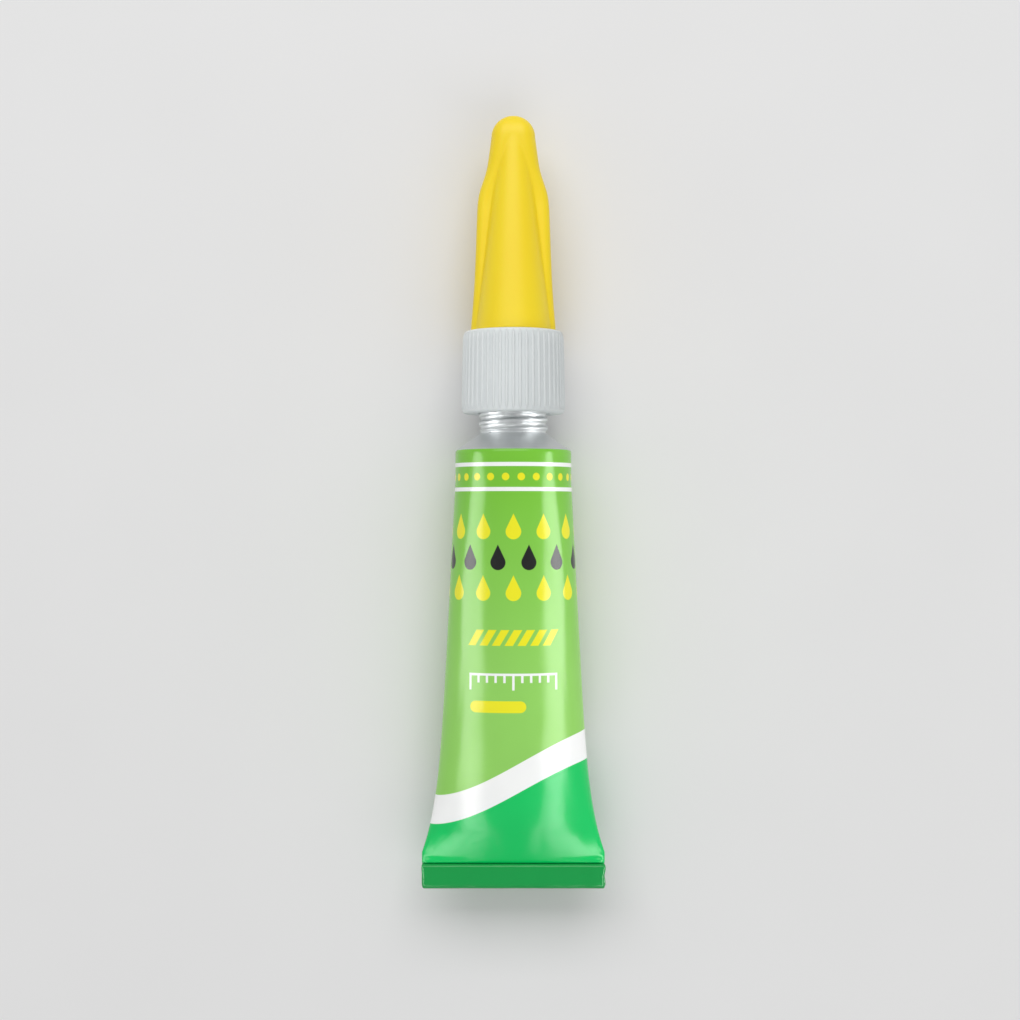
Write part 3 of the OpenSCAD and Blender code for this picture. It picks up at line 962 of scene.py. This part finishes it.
# Lamps, with their ends and widths in metres and the brightness of their faces
WORLD_LEVEL = 0.4
KEY_LIGHT = {"start": (-0.36, 0.34, 0.4), "end": (0.24, 0.34, 0.4), "width": 0.3, "level": 2.9}
FILL_LIGHT = {"start": (-0.1, -0.3, 0.4), "end": (0.5, -0.3, 0.4), "width": 0.3, "level": 1.3}
COLLAR_LIGHT = {"start": (-0.08, 0, 0.08), "end": (-0.08, 0.04, 0.08), "width": 0.04, "level": 2.6}
COLLAR_AIM_Y = 0.014
SIDE_FILL = {"x": 0.3, "z": 0.12, "first_y": -0.2, "last_y": 0.1, "width": 0.2}
SIDES = (("left", -1), ("right", 1))
SIDE_FILL_LEVELS = {"left": 0.85, "right": 1.9}

# Narrow cards, in mm, and the straight bands that they make as the sleeve mirrors them
BAND_X = 4.05
BAND_W = 1.34
CARD_REACH = 60
CARD_HEIGHTS = (43.3, 30, 15, 10, 6.5, 4.5, 3)
CARD_GAINS = (1, 1, 1, 1, 0.75, 0.45)
CARD_SPREAD = 110
CARD_LEVELS = {"left": 2.4, "right": 2.8}


def strip_lamp(name, aim, start, end, width, level, spread=180):
    """A soft lamp from start to end that faces aim, with its beam's spread in degrees."""
    start = Vector(start)
    end = Vector(end)
    along = (end - start).normalized()
    data = bpy.data.lights.new(name, "AREA")
    data.shape = "RECTANGLE"
    data.size = width
    data.size_y = (end - start).length
    data.spread = math.radians(spread)
    data.energy = math.pi * data.size * data.size_y * level
    light = bpy.data.objects.new(name, data)
    light.location = (start + end) / 2
    back = light.location - Vector(aim)
    back = (back - along * back.dot(along)).normalized()
    light.rotation_euler = Matrix((along.cross(back), along, back)).transposed().to_euler()
    bpy.context.scene.collection.objects.link(light)
    return light


def light_only(light, pieces, as_reflection):
    """Keeps a lamp to some pieces, and shows it there as a reflection alone or as plain light alone."""
    lit = bpy.data.collections.new(light.name + "_pieces")
    for piece in pieces:
        lit.objects.link(piece)
    light.light_linking.receiver_collection = lit
    light.visible_diffuse = not as_reflection
    light.visible_glossy = as_reflection


def side_fill(name, side, aim):
    """A broad lamp low beside the tube."""
    first = (side * SIDE_FILL["x"], SIDE_FILL["first_y"], SIDE_FILL["z"])
    last = (side * SIDE_FILL["x"], SIDE_FILL["last_y"], SIDE_FILL["z"])
    return strip_lamp(name + "_fill", aim, first, last, SIDE_FILL["width"], SIDE_FILL_LEVELS[name])


def mirror_place(x, height, eye):
    """Where a card has to stand for the eye to see it mirrored at a place on the sleeve's front."""
    step = 0.02
    across = (sleeve_front(x + step, height) - sleeve_front(x - step, height)) / (2 * step)
    along = (sleeve_front(x, height + step) - sleeve_front(x, height - step)) / (2 * step)
    normal = Vector((-across, -along, 1)).normalized()
    place = Vector(place_points([(x, sleeve_front(x, height), height)])[0])
    sight = (eye - place).normalized()
    return place + (normal * (2 * normal.dot(sight)) - sight) * (CARD_REACH * MM)


def side_cards(name, side, eye):
    """Cards end to end along one side, each mirrored between two heights on the sleeve."""
    x = side * BAND_X
    cards = []
    for number, gain in enumerate(CARD_GAINS):
        heights = CARD_HEIGHTS[number:number + 2]
        middle = sum(heights) / 2
        first, last = [mirror_place(x, height, eye) for height in heights]
        width = mirror_place(x + BAND_W / 2, middle, eye) - mirror_place(x - BAND_W / 2, middle, eye)
        aim = (0, TAIL_Y + middle * MM, AXIS_Z)
        level = CARD_LEVELS[name] * gain
        cards.append(strip_lamp(f"{name}_card_{number}", aim, first, last, width.length, level, CARD_SPREAD))
    return cards


def build_light(sleeve, collar, eye):
    """Even studio light from above, and narrow cards close to the tube for the soft bands along its sides."""
    world = bpy.data.worlds.new("studio")
    world.use_nodes = True
    background = world.node_tree.nodes["Background"]
    background.inputs["Color"].default_value = (1, 1, 1, 1)
    background.inputs["Strength"].default_value = WORLD_LEVEL
    bpy.context.scene.world = world
    middle = (0, 0, AXIS_Z)
    strip_lamp("key_light", middle, **KEY_LIGHT)
    fill = strip_lamp("fill_light", middle, **FILL_LIGHT)
    fill.visible_glossy = False
    for name, side in SIDES:
        light_only(side_fill(name, side, middle), [sleeve], False)
    light_only(strip_lamp("collar_light", (0, COLLAR_AIM_Y, AXIS_Z), **COLLAR_LIGHT), collar, False)
    for name, side in SIDES:
        for card in side_cards(name, side, eye):
            light_only(card, [sleeve], True)


# The picture: its size and scale, and where the tail's foot and the tube's axis lie in it
IMAGE_SIZE = 1020
PIXELS_PER_MM = 9.667
TAIL_PIXEL = 887.5
AXIS_PIXEL = 513.3
SENSOR_WIDTH = 36
CAMERA_DISTANCE = 170 * MM


def build_camera():
    """Straight above the tube, the cap upwards in the picture; gives the camera's place."""
    data = bpy.data.cameras.new("camera")
    data.sensor_width = SENSOR_WIDTH
    data.lens = SENSOR_WIDTH * CAMERA_DISTANCE / (IMAGE_SIZE / PIXELS_PER_MM * MM)
    data.clip_start = MM
    camera = bpy.data.objects.new("camera", data)
    from_axis = (IMAGE_SIZE / 2 - AXIS_PIXEL) / PIXELS_PER_MM
    from_tail = (TAIL_PIXEL - IMAGE_SIZE / 2) / PIXELS_PER_MM
    camera.location = (from_axis * MM, TAIL_Y + from_tail * MM, AXIS_Z + CAMERA_DISTANCE)
    bpy.context.scene.collection.objects.link(camera)
    bpy.context.scene.camera = camera
    return camera.location.copy()


enamel = printed_enamel()
aluminium = bare_aluminium()
milky = milky_polyethylene()
sleeve = build_tube(enamel, aluminium)
collar = [build_nozzle(milky), build_ribs(milky)]
build_cap(yellow_polyethylene())
paint_node("neck_membrane", aluminium)
paint_node("tail_sealant", dried_latex())
paint_node("adhesive_fill", clear_glue())
paint_node("cap_pin", drawn_steel())
build_floor()
build_light(sleeve, collar, build_camera())
bpy.context.scene.view_settings.view_transform = "Standard"
